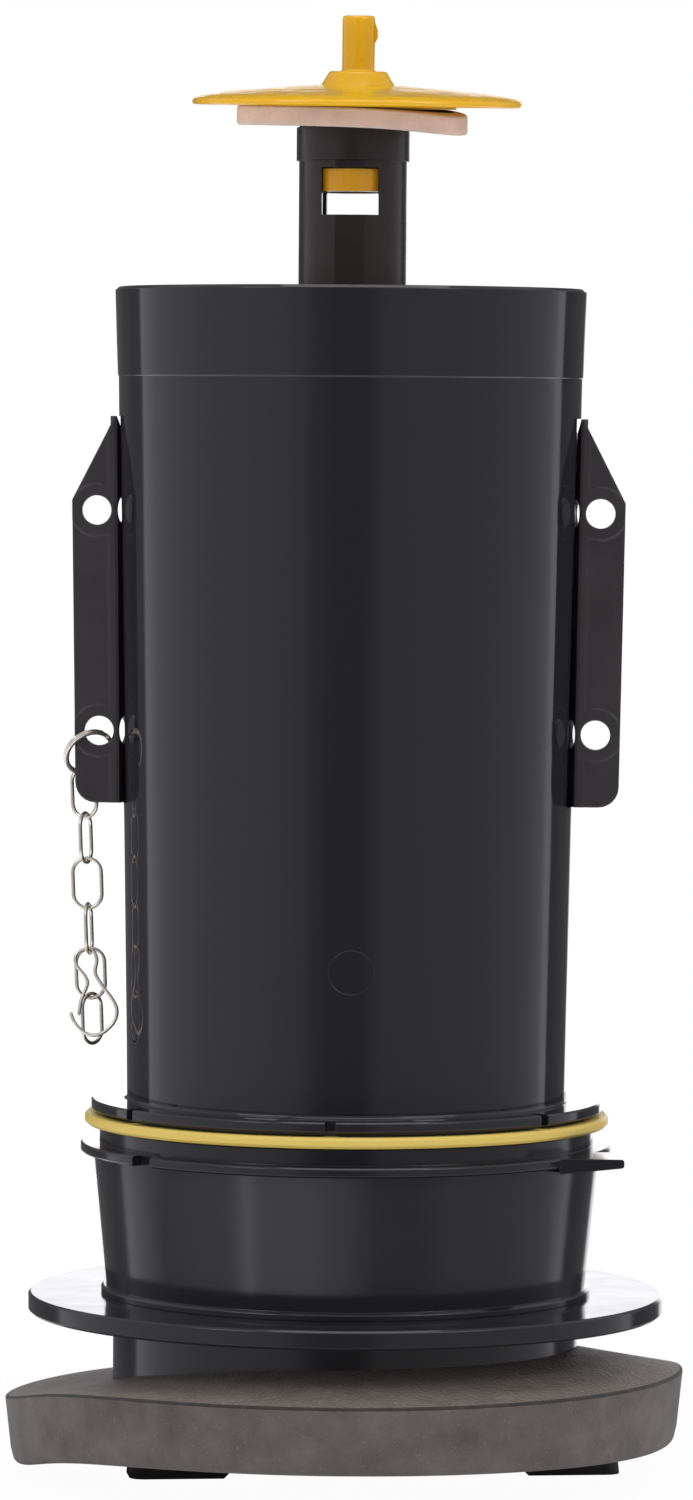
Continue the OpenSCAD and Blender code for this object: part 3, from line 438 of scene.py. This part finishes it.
# Canister
# Wall, foot, guide tube, spider and retainer are moulded in the same glossy ABS as the body, and
# slide on the post as one. The front has a faint round gate mark low on its middle.
gate_middle = (2.98 * MM, -38.68 * MM, 90.8 * MM)
gate_mark = (gate_middle, 3.75 * MM, 0.5 * MM, 0.02 * MM)
canister_black = moulded("gloss_black_abs_canister", "#1c1b1f", 0.06, wave=0.03 * MM, wave_size=12.0 * MM,
                         gate=gate_mark)
dress(canister_black, "canister_shell", "canister_foot", "guide_tube", "guide_spider", "seal_retainer")


# Ears
# The ears come from the same mould as the wall, but their faces keep its fine spark-worn grain,
# so that they shine wide and pale where the wall beside them is dark.
ear_black = moulded("grained_black_abs", "#302d2e", 0.32, grain=0.003 * MM, grain_size=0.25 * MM,
                    edge=0.5 * MM)
dress(ear_black, "left_ear", "right_ear")


# Canister seal
# A flat ring moulded in yellow silicone rubber, held between the foot's lip and the retainer. It
# is smooth but dull, and lets a little light into its edge.
silicone = moulded("yellow_silicone", "#dfc564", 0.38, edge=0.4 * MM, soft=0.15, soft_depth=1.5 * MM,
                   ior=1.41)
dress(silicone, "canister_seal")


# Cap
# Domed disc, hub and nipple moulded in one with the hollow plug below, in amber acetal, slightly
# translucent and wavy. Two lugs turn in a groove of the post, and their play lets the disc lean
# forward on its top.
cap_foot, cap_level, cap_gap = 223.25 * MM, 237.5 * MM, 0.2 * MM
plug_out, plug_bore = 6.9 * MM, 5.4 * MM
boss_r, boss_drop = 17.2 * MM, 0.35 * MM
disc_r, disc_nose, disc_thick, disc_rise = 28.7 * MM, 0.6 * MM, 1.3 * MM, 2.4 * MM
dome_power, dome_wave, wave_run = 0.6, 0.03 * MM, 2.0 * MM
hub_low, hub_top, hub_tall, hub_round = 6.4 * MM, 5.3 * MM, 2.4 * MM, 0.8 * MM
nipple_r, nipple_bore, nipple_tall = 2.82 * MM, 1.6 * MM, 9.6 * MM
nipple_foot, nipple_round, bore_round = 0.4 * MM, 0.6 * MM, 0.2 * MM
cap_shift, cap_raise = 0.75 * MM, 0.24 * MM
cap_lean = np.array(Matrix.Rotation(math.radians(2.4), 3, "X") @ Matrix.Rotation(math.radians(0.5), 3, "Y"))
disc_low = cap_level + boss_drop
plug_top = cap_level + disc_thick
hub_head = disc_low + disc_thick + disc_rise + hub_tall
nipple_head = hub_head + nipple_tall
dome_share = np.linspace(0, 1, 25)
dome_r = (disc_r - disc_nose) + (hub_low - disc_r + disc_nose) * dome_share
dome = np.stack([dome_r, disc_low + disc_thick + disc_rise * dome_share ** dome_power], axis=1)
profile = np.vstack([
    line((plug_bore, cap_foot), (plug_out, cap_foot), 1),
    line((plug_out, cap_foot), (plug_out, cap_level - cap_gap), 6),
    line((plug_out, cap_level - cap_gap), (plug_out, cap_level), 1),
    line((plug_out, cap_level), (boss_r, cap_level), 3),
    line((boss_r, cap_level), (boss_r, disc_low), 1),
    line((boss_r, disc_low), (disc_r - disc_nose, disc_low), 4),
    round_corner(disc_r - disc_nose, disc_low + disc_nose, disc_nose, -90, 60, 8),
    dome,
    round_corner(hub_top - hub_round, hub_head - hub_round, hub_round, 20, 90, 5),
    round_corner(nipple_r + nipple_foot, hub_head + nipple_foot, nipple_foot, 270, 180, 5),
    line((nipple_r, hub_head + nipple_foot), (nipple_r, nipple_head - nipple_round), 6)[1:],
    round_corner(nipple_r - nipple_round, nipple_head - nipple_round, nipple_round, 0, 90, 6),
    round_corner(nipple_bore + bore_round, nipple_head - bore_round, bore_round, 90, 180, 4),
    line((nipple_bore, nipple_head - bore_round), (nipple_bore, plug_top), 6)[1:],
    line((nipple_bore, plug_top), (plug_bore, plug_top), 2),
    line((plug_bore, plug_top), (plug_bore, cap_foot), 6)])


def lean(points):
    """Leans what is above the post's top about the cap's level l: p' = R (p - l) + l + shift."""
    pivot = np.array((0, 0, cap_level))
    share = np.clip((points[..., 2:] - cap_level) / cap_gap + 1, 0, 1)
    leant = (points - pivot) @ cap_lean.T + pivot + np.array((cap_shift, 0, cap_raise))
    return points + (leant - points) * share


def cap_shape(radius, height, turn):
    """Leans the turned profile, and lets the dome wave: z' = z + dome_wave sin(9a) sin(r / wave_run)."""
    dome_part = np.where((height > disc_low + disc_nose) & (radius > hub_low), 1.0, 0.0)
    wave = dome_wave * np.sin(9 * turn) * np.sin(radius / wave_run) * dome_part
    return lean(np.stack([radius * np.cos(turn), radius * np.sin(turn), height + wave], axis=-1))


def slab(name, outline, half, shape):
    """A flat piece: an outline of (x, z) points, half to either side of y = 0, then moved by shape."""
    count = len(outline)
    points = np.vstack([np.insert(np.array(outline), 1, side * half, axis=1) for side in (-1, 1)])
    ends = [tuple(range(count)), tuple(range(2 * count - 1, count - 1, -1))]
    return new_piece(name, shape(points), ends + grid_faces(2, count, closed=False))


amber = moulded("amber_acetal", "#e2b008", 0.22, wave=0.22 * MM, wave_size=3.5 * MM, edge=0.2 * MM,
                soft=0.3, ior=1.48)
cap_body = ring_mesh("cap_moulding", profile, 200, cap_shape)

# The lugs are thick and stand in the post's shade, so no light comes through their amber. Their
# colour is also painted light: a brighter, more orange copy of the cap's amber, for their place in that
# shade.
thick_painted_light_amber = moulded("amber_acetal_thick_painted_light", "#fbb520", 0.24, wave=0.04 * MM, wave_size=3.5 * MM,
                      edge=0.2 * MM, ior=1.48)
lug_half, lug_inner, lug_outer, lug_tall = 4.8 * MM, 6.0 * MM, 8.35 * MM, 3.9 * MM
lug_middle = cap_foot + lug_tall / 2
lug_outline = []
for reach, order in ((lug_outer, 1), (lug_inner, -1)):
    sweep = np.linspace(-order, order, 9) * math.asin(lug_half / reach)
    lug_outline += list(zip(reach * np.sin(sweep), reach * np.cos(sweep)))
lugs = []
for side, away in (("front", -1), ("back", 1)):
    lug = slab(f"cap_lug_{side}", lug_outline, lug_tall / 2, lambda points: np.stack(
        [points[:, 0], away * points[:, 2], lug_middle + points[:, 1]], axis=1))
    lugs.append(lug)

# A small nub stands out near the top of the nipple, on its right.
nub_root, nub_reach, nub_half = nipple_r - 0.4 * MM, nipple_r + 0.55 * MM, 0.6 * MM
nub_low, nub_bulge, nub_slope, nub_high = (nipple_head - drop * MM for drop in (4.8, 3.8, 2.5, 1.0))
nub = slab("cap_nub", [(nub_root, nub_low), (nipple_r, nub_low), (nub_reach, nub_bulge),
                       (nub_reach - 0.05 * MM, nub_slope), (nipple_r, nub_high), (nub_root, nub_high)],
           nub_half, lean)
for piece in (cap_body, *lugs, nub):
    # The lugs take the amber with painted light, the rest of the cap the plain amber.
    piece.data.materials.append(thick_painted_light_amber if piece in lugs else amber)
    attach(piece, "cap")
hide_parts("cap")


# Cap washer
# A ring of soft pink foam, fine-celled and matt, punched from sheet. It goes round the post's top
# under the cap's boss, leans with the cap, and hangs down a little at the right, where nothing
# holds it up.
washer_bore, washer_out = 10.6 * MM, 20.0 * MM
washer_low, washer_high = 234.7 * MM, 238.08 * MM
washer_press = cap_level + 0.1 * MM
washer_shift = -1.0 * MM
washer_round = 0.5 * MM
washer_droop, droop_turn, droop_power = 1.5 * MM, -0.3, 6
washer_uneven = 0.08 * MM
press_out, press_in = boss_r + 0.5 * MM, boss_r + 0.1 * MM
profile = np.vstack([
    line((washer_bore, washer_low), (washer_out - washer_round, washer_low), 8),
    round_corner(washer_out - washer_round, washer_low + washer_round, washer_round, -90, 0, 5),
    round_corner(washer_out - washer_round, washer_high - washer_round, washer_round, 0, 90, 5),
    line((washer_out - washer_round, washer_high), (press_out, washer_high), 3)[1:],
    line((press_out, washer_high), (press_in, washer_press), 2),
    line((press_in, washer_press), (washer_bore, washer_press), 6),
    line((washer_bore, washer_press), (washer_bore, washer_low), 4)])


def washer_shape(radius, height, turn):
    """Leans the ring with the cap and lets it hang, with s the share of the way from bore to rim.

    z' = z - droop s^2 ((1 + cos(a - droop_turn)) / 2)^power, and r' = r + uneven sin(5a + 2) s.
    """
    share = np.clip((radius - washer_bore) / (washer_out - washer_bore), 0, 1)
    sink = washer_droop * share ** 2 * ((1 + np.cos(turn - droop_turn)) / 2) ** droop_power
    out = radius + washer_uneven * np.sin(5 * turn + 2) * share
    points = np.stack([out * np.cos(turn) + washer_shift, out * np.sin(turn), height - sink], axis=-1)
    pivot = np.array((0, 0, cap_level))
    return (points - pivot) @ cap_lean.T + pivot + np.array((cap_shift, 0, 0))


washer = ring_mesh("cap_foam", profile, 160, washer_shape)
washer.data.materials.append(foam("soft_pink_foam", "#ecd2c2", "#f4e8e0", 0.35 * MM, 0.03 * MM, soft=0.1))
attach(washer, "cap")
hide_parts("cap_washer")


# Split ring
# Two turns of flat drawn stainless wire side by side, with a step where they cross and both cut
# ends showing. Drawing leaves the wire bright, with fine marks. The ring hangs askew through the
# lower hole of the left ear.
def wire_mesh(name, path, wide, deep, axis, sides=16):
    """Oval wire along a path p: ring k is p_k + wide_k cos(a) s + deep_k sin(a) u.

    s is square to the run p_k+1 - p_k-1 and to the axis, and u is square to both s and the run.
    """
    count = len(path)
    run = np.gradient(path, axis=0)
    run /= np.linalg.norm(run, axis=1)[:, None]
    side = np.cross(run, axis)
    side /= np.linalg.norm(side, axis=1)[:, None]
    up = np.cross(side, run)
    turns = np.linspace(0, 2 * math.pi, sides, endpoint=False)[:, None]
    wide, deep = (np.broadcast_to(size, count)[:, None, None] for size in (wide, deep))
    points = path[:, None] + wide * np.cos(turns) * side[:, None] + deep * np.sin(turns) * up[:, None]
    ends = [tuple(range(sides)), tuple(range(count * sides - 1, (count - 1) * sides - 1, -1))]
    made = new_piece(name, points, ends + grid_faces(count, sides, closed=False))
    made.data.polygons.foreach_set("use_smooth", [False] * len(ends) + [True] * (count - 1) * sides)
    made.data.update()
    return made


wire_steel = steel("drawn_stainless", "#d9d2c8", 0.30, 0.002 * MM, 0.3 * MM)
ring_centre = np.array((-44.9, -5.45, 125.9)) * MM
ring_radius = 4.2 * MM
ring_wide, ring_deep = 0.42 * MM, 0.25 * MM
ring_step, step_sharp = 0.26 * MM, 9
ring_start = math.radians(100)
ring_lay = np.array(Matrix.Rotation(math.radians(50), 3, "Y") @ Matrix.Rotation(math.radians(42), 3, "Z")
                    @ Matrix.Rotation(math.radians(90), 3, "X"))
lap_first, lap_last, lap_points = 0.02, 1.98, 260
lap = np.linspace(lap_first, lap_last, lap_points)
ring_turn = ring_start + 2 * math.pi * lap
ring_path = np.stack([ring_radius * np.cos(ring_turn), ring_radius * np.sin(ring_turn),
                      ring_step * np.tanh(step_sharp * (lap - 1))], axis=1)
ring = wire_mesh("split_ring", ring_path @ ring_lay.T + ring_centre, ring_wide, ring_deep, ring_lay[:, 2])
ring.data.materials.append(wire_steel)
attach(ring, "ring")
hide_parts("chain_ring")


# Chain links
# Six links of drawn stainless wire, each bent round until its ends meet and welded there. They
# hang on one another from the split ring, in the same bright wire.
dress(wire_steel, *(f"chain_link_{i}" for i in range(1, 7)))


# Spring hook
# One length of stainless spring wire bent to a small eye and an open loop, with both ends slightly
# rounded. It hangs from the fourth link, and in use the flush lever's chain is clipped in it.
hook_radius, hook_tip = 0.3 * MM, 0.55
hook_place = np.array((0, -0.55, -30.694)) * MM
ring_bottom = np.array((-45.979, -3.587, 122.294)) * MM
hook_lean = np.array(Matrix.Rotation(math.radians(-2.2), 3, "Y"))
hook_lay = hook_lean @ np.array(Matrix.Rotation(math.radians(-11), 3, "X"))
hook_bends = [(-2.0, -11.6), (-1.5, -8.9), (-0.4, -6.2), (-0.8, -4.8), (-2.2, -2.9), (-2.4, -1.3),
              (-1.3, -0.2), (0.5, -0.2), (1.3, -1.9), (1.0, -4.2), (2.1, -6.4), (3.9, -8.9),
              (4.7, -10.9), (4.1, -13.0), (2.1, -14.8), (0.2, -15.1), (-1.5, -14.3), (-2.8, -12.7),
              (-3.4, -11.0)]


def smooth_path(points, steps):
    """A curve through the points, where t runs from b to c, and a and d are their neighbours.

    p = 0.5 (2b + (c - a) t + (2a - 5b + 4c - d) t^2 + (3b - a - 3c + d) t^3).
    """
    points = np.vstack([points[:1], points, points[-1:]])
    t = np.linspace(0, 1, steps, endpoint=False)[:, None]
    a, b, c, d = points[:-3, None], points[1:-2, None], points[2:-1, None], points[3:, None]
    curve = 0.5 * (2 * b + (c - a) * t + (2 * a - 5 * b + 4 * c - d) * t ** 2
                   + (3 * b - a - 3 * c + d) * t ** 3)
    return np.vstack([curve.reshape(-1, 2), points[-1:]])


flat = smooth_path(np.array(hook_bends), 8) * MM
hook_path = np.stack([flat[:, 0], np.zeros(len(flat)), flat[:, 1]], axis=1) @ hook_lay.T
hook_path += ring_bottom + hook_lean @ hook_place
hook_thick = np.full(len(flat), hook_radius)
hook_thick[[0, -1]] *= hook_tip
hook = wire_mesh("spring_hook", hook_path, hook_thick, hook_thick, hook_lay[:, 1])
hook.data.materials.append(wire_steel)
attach(hook, "hook")
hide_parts("chain_hook")
